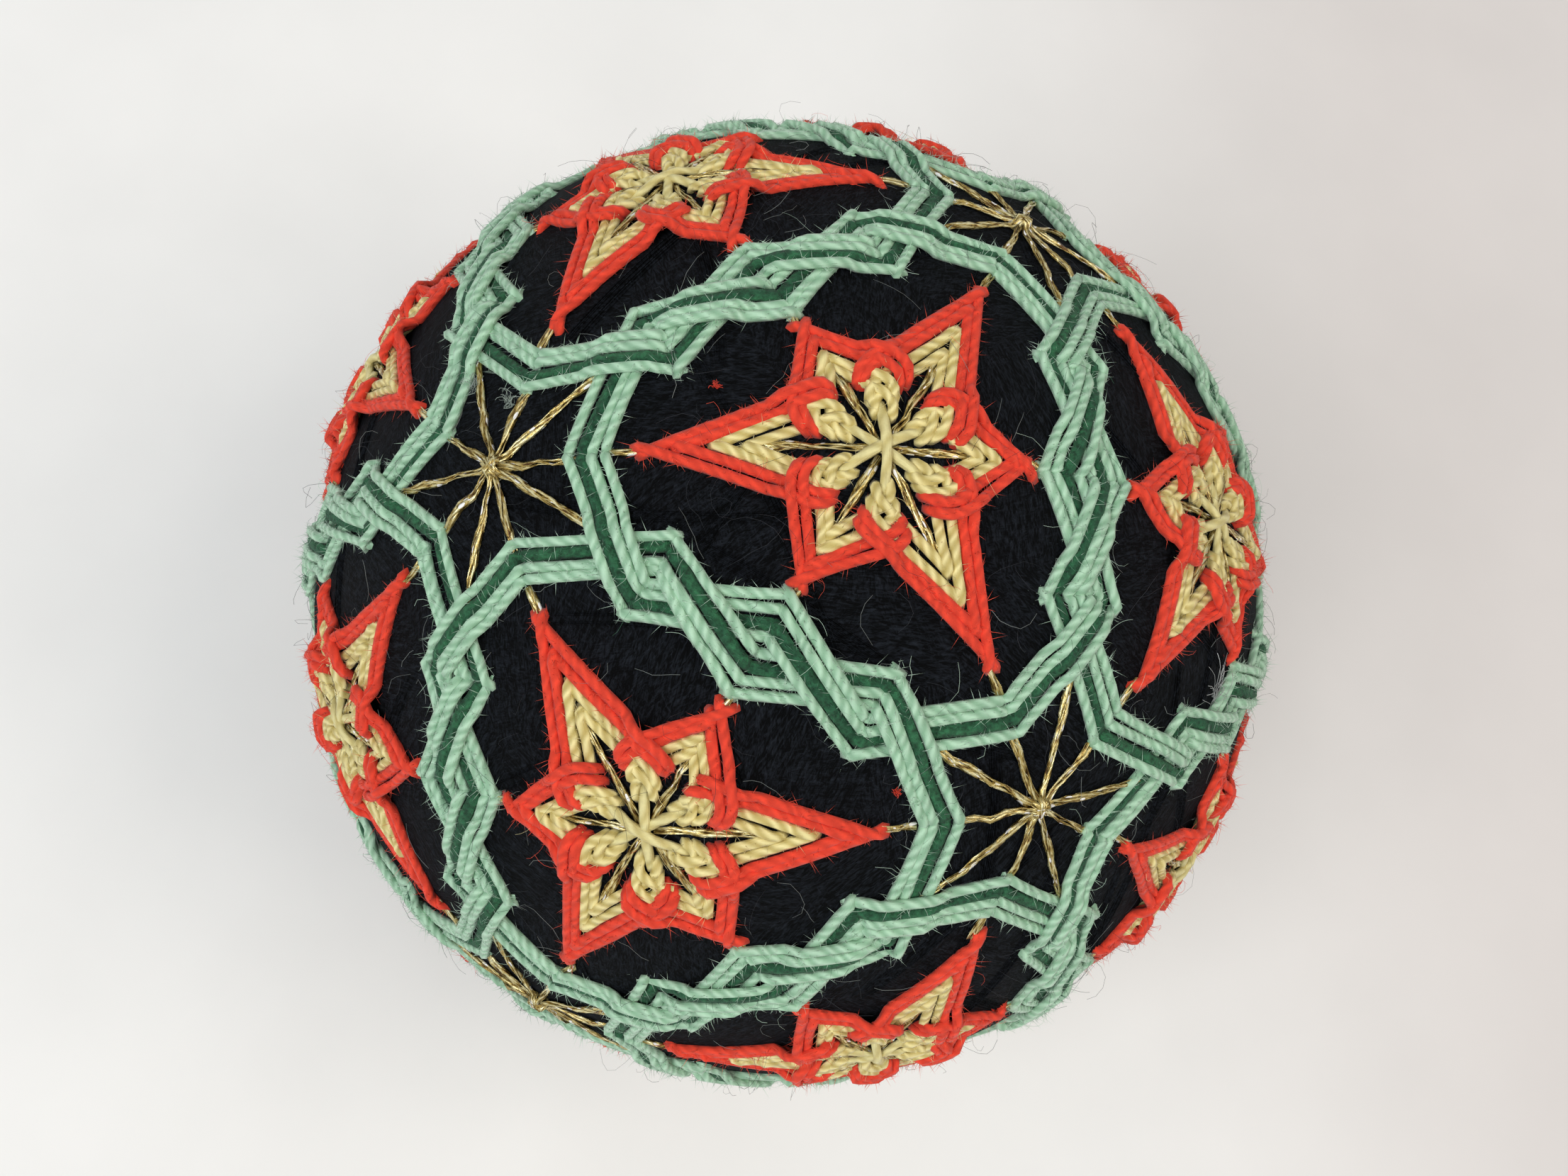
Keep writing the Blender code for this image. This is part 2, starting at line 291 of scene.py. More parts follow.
last_turns = []
for _ in range(BANDS):
    middle = unit(hand.normal(size=3))
    way = unit(np.cross(middle, hand.normal(size=3)))
    beside = np.cross(middle, way)
    half = hand.uniform(*BAND_HALF)
    bend = hand.uniform(-BAND_BEND, BAND_BEND)
    fan = hand.uniform(-BAND_FAN, BAND_FAN)
    for turn in range(BAND_TURNS):
        travel = np.arange(-half, half, LAST_TURN_STEP) + hand.uniform(-END_SLIP, END_SLIP)
        turned = travel / BALL_RADIUS
        offset = (turn * TURN_SPACING + hand.normal(0.0, TURN_SLIP)) / BALL_RADIUS
        across = offset + bend * turned ** 2 * BALL_RADIUS + fan * turn * turned
        course = unit(
            middle * np.cos(turned)[:, None] + way * np.sin(turned)[:, None] + beside * across[:, None])
        knots = ((0.0, TURN_HIGH), (half - TURN_DIVE, TURN_HIGH / 2.0), (half, TURN_SUNK))
        height = eased(np.abs(travel), knots)
        last_turns.append((course * (BALL_RADIUS + height)[:, None], 0.0, hand.uniform(*TURN_WIDTHS)))
thread_piece("last_turns_of_winding", last_turns, TRIANGLE, 0.0, winding)

# The division of the ball.
# Fifteen marked great circles divide the ball as an icosahedron does: ten lines cross at each of
# its twelve corners, the crossings, and a star sits in each of its twenty triangles.

GOLDEN = (1.0 + sqrt(5.0)) / 2.0
TOP = unit((GOLDEN, 0.0, 2.0 * GOLDEN + 1.0))
AHEAD = np.array((GOLDEN, 0.0, 1.0))
AHEAD = unit(AHEAD - TOP * (AHEAD @ TOP))
UPRIGHT = np.array((np.cross(AHEAD, TOP), AHEAD, TOP))
SIGNS = [(short, long) for short in (-1.0, 1.0) for long in (-GOLDEN, GOLDEN)]
CROSSINGS = [unit(UPRIGHT @ corner) for short, long in SIGNS
             for corner in ((0.0, short, long), (short, long, 0.0), (long, 0.0, short))]
NEIGHBOUR_DOT = 0.4
TINY = 1e-9
FEWEST_POINTS = 4
BOW_POINTS = 40
TRIANGLES = []
for a in range(12):
    for b in range(a + 1, 12):
        for c in range(b + 1, 12):
            one, two, three = CROSSINGS[a], CROSSINGS[b], CROSSINGS[c]
            if min(one @ two, two @ three, three @ one) > NEIGHBOUR_DOT:
                turn = np.cross(two - one, three - one) @ one
                TRIANGLES.append((one, two, three) if turn > 0.0 else (one, three, two))
TRIANGLES.sort(key=lambda triangle: -sum(triangle)[2])


def on_ball(anchor, toward, flat_points):
    """Directions of points given along and, to the left, across from an anchor, in millimetres."""
    flat_points = np.atleast_2d(flat_points)
    up = unit(anchor)
    forward = unit(toward - up * (toward @ up))
    left = np.cross(up, forward)
    distance = np.hypot(flat_points[:, 0], flat_points[:, 1])
    angle = distance / BALL_RADIUS
    share = np.where(distance > TINY, np.sin(angle) / np.maximum(distance, TINY), 1.0 / BALL_RADIUS)
    return (np.cos(angle)[:, None] * up + (flat_points[:, 0] * share)[:, None] * forward
            + (flat_points[:, 1] * share)[:, None] * left)


def off_ball(anchor, toward, direction):
    """Millimetres along and across from an anchor to a direction, the reverse of on_ball."""
    up = unit(anchor)
    forward = unit(toward - up * (toward @ up))
    left = np.cross(up, forward)
    angle = np.arccos(np.clip(direction @ up, -1.0, 1.0))
    flat = np.array((direction @ forward, direction @ left))
    return flat / np.linalg.norm(flat) * angle * BALL_RADIUS


def laid(anchor, toward, flat, knots, step, before=0.0):
    """A thread along a flat path, with heights eased between knots, in even steps.

    Knot distances count from the point that lies before millimetres along the path.
    """
    run = np.concatenate(([0.0], np.cumsum(np.linalg.norm(np.diff(flat, axis=0), axis=1))))
    travel = np.linspace(0.0, run[-1], max(FEWEST_POINTS, int(round(run[-1] / step)) + 1))
    even = np.column_stack([np.interp(travel, run, flat[:, axis]) for axis in (0, 1)])
    return on_ball(anchor, toward, even) * (BALL_RADIUS + eased(travel - before, knots))[:, None]


def bowed(start, end, before, after, bow, wave):
    """A flat path from start to end and past both, with one bow and a wave between them."""
    start, end = np.asarray(start, float), np.asarray(end, float)
    length = np.linalg.norm(end - start)
    way = (end - start) / length
    travel = np.linspace(-before, length + after, BOW_POINTS)
    share = np.clip(travel / length, 0.0, 1.0)
    beside = bow * np.sin(pi * share) + wave * np.sin(2.0 * pi * share)
    return start + travel[:, None] * way + beside[:, None] * np.array((-way[1], way[0]))


# The gold marking lines.
# Metallic gold thread of flat strands twisted together, laid over the winding to mark the
# division and tacked down at each crossing. It shows there, in the stars' slots and past their tips.

STRAND = ((0.195, 0.0), (0.070, 90.0), (0.195, 180.0), (0.070, 270.0))
STRANDS = 3
STRAND_SPREAD = 0.165
STRAND_LIFT = 0.07
STRAND_PITCH = 7.0
STRAND_ROLL = 0.07
STRAND_WIDTHS = (0.75, 1.15)
GOLD_STEP = 1.0
GOLD_FEWEST = 5
GOLD_SWAY = 0.07
SWAY_WAVE = 2.3
GOLD_HEIGHT = 0.22
GAP_HEIGHT = 0.12
# The long and the short lengths from a crossing, and the two ways from a star's middle.
GOLD_RAYS = ({"reach": 10.2, "dive": 8.7}, {"reach": 6.6, "dive": 4.8})
GOLD_IN_STARS = ({"slot": (0.5, 7.7), "gap": (14.3, 16.6)}, {"slot": (0.5, 5.6), "gap": (9.4, 10.8)})
TACKS = 6
TACK_HALF = 0.85
TACK_HEIGHTS = ((0.0, 0.05), (0.4, 0.72), (1.3, 0.80), (1.7, 0.05))
# Streaks and glint cells along and round a strand. A cell is 0.8 mm long, and one in five holds a painted
# white glint.
# The streaks are partly the film's own tone, partly brown painted shade and pale painted reflection.
GOLD_STREAKS = (1.0, 4.0, 1.0)
GLINT_CELL_SCALE = (1.25, 2.6, 1.0)
UNGLINTED_SHARE = 0.80
GLINT_REACH = 0.36
GOLD_GRAIN_DEPTH = 0.00012


def gold_thread_metal():
    """Metallised film strands: brown painted shade and pale painted reflection in streaks along them, over
    the film's own tone, and a few painted white glints.
    """
    material, shader = new_material("metallised_gold_thread")
    mark = add_node(material, "ShaderNodeUVMap", uv_map="thread").outputs["UV"]
    drawn_out = add_node(material, "ShaderNodeMapping", {"Vector": mark, "Scale": GOLD_STREAKS})
    streaks = add_node(
        material, "ShaderNodeTexNoise",
        {"Vector": drawn_out.outputs[0], "Scale": 1.0, "Detail": 3.0, "Roughness": 0.6})
    ramp = add_node(material, "ShaderNodeValToRGB", {"Fac": streaks.outputs["Fac"]})
    # Ramp from brown painted shade to pale painted reflection, with the film's own gold between.
    ramp.color_ramp.elements[0].position = 0.38
    ramp.color_ramp.elements[0].color = linear("#5b3f1c")
    ramp.color_ramp.elements[1].position = 0.60
    ramp.color_ramp.elements[1].color = linear("#f9f0bc")
    ramp.color_ramp.elements.new(0.47).color = linear("#c1a75a")
    spaced = add_node(material, "ShaderNodeMapping", {"Vector": mark, "Scale": GLINT_CELL_SCALE})
    glint_cells = add_node(
        material, "ShaderNodeTexVoronoi", {"Vector": spaced.outputs[0], "Scale": 1.0}, feature="F1")
    chosen = add_node(material, "ShaderNodeSeparateColor", {"Color": glint_cells.outputs["Color"]})
    picked = add_node(
        material, "ShaderNodeMath", {0: chosen.outputs[0], 1: UNGLINTED_SHARE}, operation="GREATER_THAN")
    inside = add_node(
        material, "ShaderNodeMath", {0: glint_cells.outputs["Distance"], 1: GLINT_REACH}, operation="LESS_THAN")
    # Painted glint: one cell in five gets a white base colour and no metal, standing in for a highlight.
    painted_glint = add_node(
        material, "ShaderNodeMath", {0: picked.outputs[0], 1: inside.outputs[0]}, operation="MULTIPLY")
    colour = add_node(
        material, "ShaderNodeMix", {0: painted_glint.outputs[0], 6: ramp.outputs["Color"]}, data_type="RGBA")
    colour.inputs[7].default_value = linear("#fffefa")
    metal = add_node(
        material, "ShaderNodeMapRange", {"Value": painted_glint.outputs[0], "To Min": 0.60, "To Max": 0.0})
    bump = add_node(
        material, "ShaderNodeBump",
        {"Height": streaks.outputs["Fac"], "Strength": 0.9, "Distance": GOLD_GRAIN_DEPTH})
    links = material.node_tree.links
    links.new(colour.outputs[2], shader.inputs["Base Color"])
    links.new(metal.outputs[0], shader.inputs["Metallic"])
    links.new(bump.outputs["Normal"], shader.inputs["Normal"])
    shader.inputs["Roughness"].default_value = 0.26
    return material


def gold_line(anchor, toward, turn, start, end, heights):
    """The strands of one marking line that runs out from an anchor at an angle."""
    way = np.array((np.cos(turn), np.sin(turn)))
    length = end - start
    travel = np.linspace(0.0, length, max(GOLD_FEWEST, int(length / GOLD_STEP) + 1))
    sway = hand.normal(0.0, GOLD_SWAY, 2)
    wave = np.sin(SWAY_WAVE * travel + hand.uniform(0.0, 6.0))
    drift = sway[0] * np.sin(pi * travel / length) + sway[1] * wave
    height = eased(travel, heights)
    twist_start = hand.uniform(0.0, 2.0 * pi)
    strands = []
    for strand in range(STRANDS):
        spin = twist_start + 2.0 * pi * (travel / STRAND_PITCH + strand / STRANDS)
        beside = drift + STRAND_SPREAD * np.cos(spin)
        flat = (start + travel)[:, None] * way + beside[:, None] * np.array((-way[1], way[0]))
        lift = height + STRAND_LIFT * np.sin(spin)
        points = on_ball(anchor, toward, flat) * (BALL_RADIUS + lift)[:, None]
        strands.append((points, hand.uniform(0.0, 3.0), hand.uniform(*STRAND_WIDTHS)))
    return strands


gold_courses = []
for crossing in CROSSINGS:
    others = [other for other in CROSSINGS if other is not crossing]
    neighbour = max(others, key=lambda other: other @ crossing)
    for ray in range(10):
        turn = 2.0 * pi * ray / 10.0 + hand.normal(0.0, 0.03)
        reach, dive = GOLD_RAYS[ray % 2]["reach"], GOLD_RAYS[ray % 2]["dive"]
        rise = 0.30 + 0.08 * (ray % 3)
        knots = (
            (0.0, GOLD_HEIGHT + rise), (1.2, GOLD_HEIGHT), (dive, GOLD_HEIGHT), (dive + 0.9, -0.15),
            (reach, -0.3))
        gold_courses += gold_line(crossing, neighbour, turn, 0.1, reach, knots)
    for _ in range(TACKS):
        turn = hand.uniform(0.0, 2.0 * pi)
        gold_courses += gold_line(crossing, neighbour, turn, -TACK_HALF, TACK_HALF, TACK_HEIGHTS)
for triangle in TRIANGLES:
    star = unit(sum(triangle))
    for ray in range(6):
        turn = pi / 3.0 * ray + hand.normal(0.0, 0.015)
        slot, gap = GOLD_IN_STARS[ray % 2]["slot"], GOLD_IN_STARS[ray % 2]["gap"]
        gold_courses += gold_line(
            star, triangle[0], turn, *slot, ((0.0, 0.25), (slot[1] - slot[0], GOLD_HEIGHT)))
        gold_courses += gold_line(
            star, triangle[0], turn, *gap, ((0.0, GAP_HEIGHT), (gap[1] - gap[0], GAP_HEIGHT)))
gold = thread_piece(
    "gold_marking_lines", gold_courses, STRAND, STRAND_ROLL, gold_thread_metal(), uneven=0.06)
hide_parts(*(f"gold_{number:02d}" for number in range(1, 13)))

# The stars.
# Each star is stitched from the middle out with two-ply cotton: two yellow rows, then two red
# ones. A row goes round by turns to a long or short point and to the arm between them, where it
# overshoots the arm and is tucked in beside the rows before it, so that the stitches pile up.

STAR_ROWS = (
    {"thread": "yellow", "long": 8.20, "short": 6.10, "arm": 3.60, "tail": (1.95, 0.42), "ear": 0.32,
     "over": (0.30, 0.55)},
    {"thread": "yellow", "long": 10.15, "short": 7.15, "arm": 4.70, "tail": (2.80, 0.66), "ear": 0.34,
     "over": (0.50, 0.68)},
    {"thread": "red", "long": 12.20, "short": 8.30, "arm": 5.50, "tail": (3.70, 1.08), "ear": 0.60,
     "over": (0.80, 0.98)},
    {"thread": "red", "long": 14.00, "short": 9.30, "arm": 6.30, "tail": (4.15, 1.48), "ear": 0.95,
     "over": (0.90, 1.10)},
)
YELLOW_ROUND = tuple((0.358, 60.0 * corner) for corner in range(6))
RED_ROUND = tuple((0.374, 60.0 * corner) for corner in range(6))
CENTRE_ROUND = tuple((0.355, 60.0 * corner) for corner in range(6))
BASE = 0.20
YELLOW_STEP = 0.46
RED_STEP = 0.50
CORNER_SLIP = (0.07, 0.06)
TAIL_SLIP = (0.14, 0.08)
TIP_SLIP = 0.08
STITCH_BOW = 0.06
STITCH_WIDTHS = (0.95, 1.06)
EAR_LENGTHS = (0.8, 1.3)
EAR_SUNK = -0.24
TAIL_SUNK = -0.32
TAIL_POINTS = 16
TAIL_PULL = 1.25
TAIL_WAY = (0.95, 0.30)
TIP_OVER = 0.26
CENTRE_REACH = 3.05
CENTRE_TOP = 0.36
CENTRE_RISE = 0.20
# How the twist of the plies wanders, per millimetre and in turns, and the fibres on a ply.
WANDER_PER_MM = (0.42, 0.0, 0.0)
WANDER_TURNS = 1.1
PLY_FIBRES = (1.6, 22.0, 1.0)
PLY_BUMP = 0.00007


def cotton(name, light, painted_groove_shade, pitch=0.0, ply_depth=0.0, fuzz=1.0, roughness=0.6, sheen=0.1,
           mottling=0.1, grain=900.0, felt=0.0):
    """Two-ply cotton: painted highlight on the ply crests and painted shade in the groove between the
    plies, fine fibres along them and a soft bloom.

    Pitch is the length of one turn of the plies in millimetres, grain the blotches per metre, and
    felt how far the blotches stand up.
    """
    material, shader = new_material(name)
    mark = add_node(material, "ShaderNodeUVMap", uv_map="thread").outputs["UV"]
    parts = add_node(material, "ShaderNodeSeparateXYZ", {"Vector": mark})
    slow = add_node(material, "ShaderNodeMapping", {"Vector": mark, "Scale": WANDER_PER_MM})
    wander = add_node(
        material, "ShaderNodeTexNoise", {"Vector": slow.outputs[0], "Scale": 1.0, "Detail": 1.0})
    turned = add_node(
        material, "ShaderNodeMath",
        {0: parts.outputs["X"], 1: 1.0 / pitch if pitch else 0.0, 2: parts.outputs["Y"]},
        operation="MULTIPLY_ADD")
    twisted = add_node(
        material, "ShaderNodeMath", {0: wander.outputs["Fac"], 1: WANDER_TURNS, 2: turned.outputs[0]},
        operation="MULTIPLY_ADD")
    round_twice = add_node(
        material, "ShaderNodeMath", {0: twisted.outputs[0], 1: 4.0 * pi}, operation="MULTIPLY")
    ply = add_node(material, "ShaderNodeMath", {0: round_twice.outputs[0]}, operation="COSINE")
    stretched = add_node(material, "ShaderNodeMapping", {"Vector": mark, "Scale": PLY_FIBRES})
    fibres = add_node(
        material, "ShaderNodeTexNoise",
        {"Vector": stretched.outputs[0], "Scale": 1.0, "Detail": 3.0, "Roughness": 0.65})
    place = add_node(material, "ShaderNodeTexCoord").outputs["Object"]
    blotches = add_node(
        material, "ShaderNodeTexNoise", {"Vector": place, "Scale": grain, "Detail": 3.0, "Roughness": 0.6})
    height = add_node(
        material, "ShaderNodeMath",
        {0: ply.outputs[0], 1: ply_depth, 2: fibres.outputs["Fac"]}, operation="MULTIPLY_ADD")
    height = add_node(
        material, "ShaderNodeMath",
        {0: blotches.outputs["Fac"], 1: felt, 2: height.outputs[0]}, operation="MULTIPLY_ADD")
    # Painted highlight and painted shade: the first colour lies on each ply's crest, the darker groove
    # colour between the plies.
    painted_crest_share = add_node(
        material, "ShaderNodeMapRange", {"Value": ply.outputs[0], "From Min": -1.0, "From Max": 1.0})
    mixed = add_node(material, "ShaderNodeMix", {0: painted_crest_share.outputs[0]}, data_type="RGBA")
    mixed.inputs[6].default_value = linear(painted_groove_shade)
    mixed.inputs[7].default_value = linear(light)
    shade = add_node(
        material, "ShaderNodeMapRange",
        {"Value": blotches.outputs["Fac"], "From Min": 0.3, "From Max": 0.7,
         "To Min": 1.0 - mottling, "To Max": 1.0 + mottling})
    tinted = add_node(
        material, "ShaderNodeVectorMath", {0: mixed.outputs[2], "Scale": shade.outputs[0]},
        operation="SCALE")
    bump = add_node(
        material, "ShaderNodeBump", {"Height": height.outputs[0], "Strength": fuzz, "Distance": PLY_BUMP})
    links = material.node_tree.links
    links.new(tinted.outputs[0], shader.inputs["Base Color"])
    links.new(bump.outputs["Normal"], shader.inputs["Normal"])
    shader.inputs["Roughness"].default_value = roughness
    shader.inputs["Specular IOR Level"].default_value = 0.4
    shader.inputs["Sheen Weight"].default_value = sheen
    shader.inputs["Sheen Roughness"].default_value = 0.45
    return material


def star_stitch(star, toward, turn, side, tip, row, high_tip, step):
    """One stitch from a star's point to the arm at an angle and on to a tail on the arm's far side."""
    arm_way = np.array((np.cos(turn), np.sin(turn)))
    left = np.array((-arm_way[1], arm_way[0])) * side
    corner = arm_way * (row["arm"] + hand.normal(0.0, CORNER_SLIP[0]))
    corner = corner + left * hand.normal(0.0, CORNER_SLIP[1])
    length = np.linalg.norm(corner - tip)
    way = (corner - tip) / length
    tail = [aim + hand.normal(0.0, slip) for aim, slip in zip(row["tail"], TAIL_SLIP)]
    end = arm_way * tail[0] + left * tail[1]
    reach = np.linalg.norm(end - corner)
    share = np.linspace(0.0, 1.0, TAIL_POINTS)[1:, None]
    curve = (
        (2 * share ** 3 - 3 * share ** 2 + 1) * corner
        + (share ** 3 - 2 * share ** 2 + share) * way * reach * TAIL_PULL
        + (3 * share ** 2 - 2 * share ** 3) * end
        + (share ** 3 - share ** 2) * (-TAIL_WAY[0] * arm_way - TAIL_WAY[1] * left) * reach * TAIL_PULL)
    ear = row["ear"] * hand.uniform(*EAR_LENGTHS)
    flat = np.concatenate((bowed(tip, corner, ear, 0.0, hand.normal(0.0, STITCH_BOW), 0.0), curve))
    past = np.sum(np.linalg.norm(np.diff(np.concatenate((corner[None], curve)), axis=0), axis=1))
    over = row["over"][0 if side > 0 else 1]
    # distance along the stitch from its point, and height over the ball
    knots = (
        (-ear, EAR_SUNK), (0.35 - ear, BASE), (0.25, BASE + high_tip), (1.6, BASE), (length - 1.7, BASE),
        (length - 0.35, over), (length + 0.60 * past, over - 0.04), (length + 0.85 * past, 0.5 * over),
        (length + past, TAIL_SUNK))
    course = laid(star, toward, flat, knots, step, ear)
    return course, hand.uniform(0.0, 2.0 * pi), hand.uniform(*STITCH_WIDTHS)


def star_row(triangle, row, step):
    """The twelve stitches of one row round a star."""
    star = unit(sum(triangle))
    tips = []
    for ray in range(6):
        reach = row["long"] if ray % 2 == 0 else row["short"]
        turn = pi / 3.0 * ray
        tips.append(np.array((np.cos(turn), np.sin(turn))) * reach + hand.normal(0.0, TIP_SLIP, 2))
    courses = []
    for ray in range(6):
        turn = pi / 3.0 * ray + pi / 6.0
        courses.append(star_stitch(star, triangle[0], turn, 1.0, tips[ray], row, TIP_OVER, step))
        courses.append(star_stitch(star, triangle[0], turn, -1.0, tips[(ray + 1) % 6], row, 0.0, step))
    return courses


def star_centre(triangle):
    """The three yellow stitches laid along the arms over the star's middle."""
    star = unit(sum(triangle))
    courses = []
    for number in range(3):
        turn = pi / 3.0 * number + pi / 6.0 + hand.normal(0.0, 0.03)
        way = np.array((np.cos(turn), np.sin(turn)))
        reach = CENTRE_REACH + hand.normal(0.0, 0.1)
        top = CENTRE_TOP + CENTRE_RISE * number
        knots = ((0.0, 0.0), (1.0, 0.30), (reach - 0.6, top), (reach + 0.6, top), (2 * reach - 1.0, 0.30),
                 (2 * reach, 0.0))
        flat = bowed(-way * reach, way * reach, 0.0, 0.0, hand.normal(0.0, 0.12), 0.0)
        courses.append((laid(star, triangle[0], flat, knots, RED_STEP), hand.uniform(0.0, 2.0 * pi), 1.0))
    return courses


# In each cotton the first colour is the thread painted lit on its ply crests, the second the thread painted
# shaded in the grooves.
red_cotton = cotton(
    "soft_red_cotton", "#ee452c", "#d63b25", pitch=2.1, ply_depth=0.70, fuzz=0.75, roughness=0.88,
    sheen=0.10, mottling=0.12, grain=1500.0)
yellow_cotton = cotton(
    "pale_gold_pearl_cotton", "#f0e29f", "#c5b268", pitch=2.1, ply_depth=0.80, fuzz=0.8,
    roughness=0.45, sheen=0.12, mottling=0.08)
centre_cotton = cotton(
    "pale_gold_loose_cotton", "#e6dc9e", "#cfc07c", pitch=3.3, ply_depth=0.45, fuzz=1.0,
    roughness=0.60, sheen=0.12, mottling=0.10, grain=1500.0)
yellow_courses, centre_courses, red_upper, red_lower = [], [], [], []
for number, triangle in enumerate(TRIANGLES):
    for row in STAR_ROWS:
        if row["thread"] == "yellow":
            yellow_courses += star_row(triangle, row, YELLOW_STEP)
        elif number < 10:
            red_upper += star_row(triangle, row, RED_STEP)
        else:
            red_lower += star_row(triangle, row, RED_STEP)
    centre_courses += star_centre(triangle)
upper = [f"star_{number:02d}" for number in range(1, 11)]
lower = [f"star_{number:02d}" for number in range(11, 21)]
reds = thread_piece(
    "red_star_rows_upper", red_upper, RED_ROUND, 0.0, red_cotton, flat=0.94, uneven=0.025)
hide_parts(*upper)
reds = thread_piece(
    "red_star_rows_lower", red_lower, RED_ROUND, 0.0, red_cotton, flat=0.94, uneven=0.025)
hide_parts(*lower)
yellows = thread_piece(
    "yellow_star_rows", yellow_courses, YELLOW_ROUND, 0.0, yellow_cotton,
    flat=0.94, uneven=0.02)
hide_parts(*upper, *lower)
centres = thread_piece(
    "yellow_centre_stitches", centre_courses, CENTRE_ROUND, 0.0, centre_cotton,
    flat=0.80, uneven=0.05)
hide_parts(*upper, *lower)

# The rings.
# Four rows round each star, from the star outwards two of light green pearl cotton, one of soft
# dark green cotton and one more of light green. Each ring goes over and under its neighbours
# four times on each side, and at every corner the next stitch starts over the one before.

RING_ROWS = (
    {"thread": "light", "crossing": 7.80, "far": (7.60, -0.50), "near": (0.0, 3.30), "far_ear": 0.22,
     "near_ear": 0.42, "crossing_ear": 0.24},
    {"thread": "light", "crossing": 7.05, "far": (7.75, -1.20), "near": (0.0, 2.45), "far_ear": 0.22,
     "near_ear": 0.24, "crossing_ear": 0.24},
    {"thread": "dark", "crossing": 6.20, "far": (7.90, -2.00), "near": (0.0, 1.55), "far_ear": 0.25,
     "near_ear": 0.25, "crossing_ear": 0.25},
    {"thread": "light", "crossing": 5.40, "far": (8.00, -2.80), "near": (0.0, 0.55), "far_ear": 0.48,
     "near_ear": 0.24, "crossing_ear": 0.34},
)
GREEN_ROUND = tuple((0.370, 60.0 * corner) for corner in range(6))
DARK_ROUND = tuple((0.46, 60.0 * corner) for corner in range(6))
RING_EARS = ("crossing_ear", "far_ear", "near_ear", "far_ear", "crossing_ear")
RING_BASE = 0.20
DARK_SUNK = 0.15
RING_OVER = 0.74
OVER_MARGIN = 0.5
RAMP = 1.3
LIGHT_STEP = 0.57
DARK_STEP = 0.62
CORNER_NUDGE = 0.085
CORNER_RISE = 0.20
LANDED = 1.2
RING_START_SUNK = -0.28
RING_END_SUNK = -0.30
LONG_EAR = 0.5
RING_BOW, RING_WAVE = 0.05, 0.03
RING_WIDTHS = (0.95, 1.05)


def meeting(start, end, other_start, other_end):
    """Distance along the first line at which it meets the second."""
    way, other_way = end - start, other_end - other_start
    lengths = np.column_stack((way, -other_way))
    return np.linalg.solve(lengths, other_start - start)[0] * np.linalg.norm(way)


def ring_corners(crossing, following, star, row):
    """The row's corners from one crossing to the next, along and across from the edge's middle."""
    middle = unit(crossing + following)
    spots = [on_ball(corner, star, (row["crossing"], 0.0))[0] for corner in (crossing, following)]
    first, last = (off_ball(middle, following, spot) for spot in spots)
    far, near = row["far"], row["near"]
    return [first, np.array((-far[0], far[1])), np.array(near), np.array(far), last]


def ring_rows(triangle):
    """All stitches of the rows round one star, as {thread: courses}."""
    star = unit(sum(triangle))
    nudges = hand.normal(0.0, CORNER_NUDGE, (3, 4, len(RING_ROWS), 2))
    made = {"light": [], "dark": []}
    for edge in range(3):
        crossing, following, after_next = (triangle[(edge + ahead) % 3] for ahead in range(3))
        middle = unit(crossing + following)
        plain = [ring_corners(crossing, following, star, row) for row in RING_ROWS]
        for number, row in enumerate(RING_ROWS):
            corners = [corner.copy() for corner in plain[number]]
            for place in range(4):
                corners[place] += nudges[edge, place, number]
            shared = ring_corners(following, after_next, star, row)[0] + nudges[(edge + 1) % 3, 0, number]
            shared_way = on_ball(unit(following + after_next), after_next, shared)[0]
            corners[4] = off_ball(middle, following, shared_way)
            ears = [row[place] for place in RING_EARS]
            step = LIGHT_STEP if row["thread"] == "light" else DARK_STEP
            sunk = 0.0 if row["thread"] == "light" else DARK_SUNK
            base = RING_BASE - sunk
            for leg in range(4):
                start, end = corners[leg], corners[leg + 1]
                before = ears[leg] * hand.uniform(*EAR_LENGTHS)
                after = ears[leg + 1] * hand.uniform(*EAR_LENGTHS)
                length = np.linalg.norm(end - start)
                knots = [(-before, RING_START_SUNK), (0.05, base + CORNER_RISE)]
                if leg % 2 == 0:
                    # the neighbour's band is this one turned half round the middle of the edge
                    meets = [meeting(start, end, -other[4 - leg], -other[3 - leg]) for other in plain]
                    low = max(min(meets) - OVER_MARGIN, 0.25)
                    high = min(max(meets) + OVER_MARGIN, length - 0.35)
                    if low > RAMP + LANDED:
                        knots += [(LANDED, base), (low - RAMP, base)]
                    knots += [(low, RING_OVER - sunk), (high, RING_OVER - sunk)]
                    knots += [(min(high + RAMP, length + 0.1), base)]
                else:
                    knots += [(LANDED, base), (length - 0.3, base)]
                if after > LONG_EAR:
                    knots += [(max(length + 0.55 * after, knots[-1][0] + 0.05), base - 0.06)]
                knots += [(length + after, RING_END_SUNK)]
                bow, wave = hand.normal(0.0, RING_BOW), hand.normal(0.0, RING_WAVE)
                flat = bowed(start, end, before, after, bow, wave)
                made[row["thread"]].append((
                    laid(middle, following, flat, knots, step, before),
                    hand.uniform(0.0, 2.0 * pi), hand.uniform(*RING_WIDTHS)))
    return made


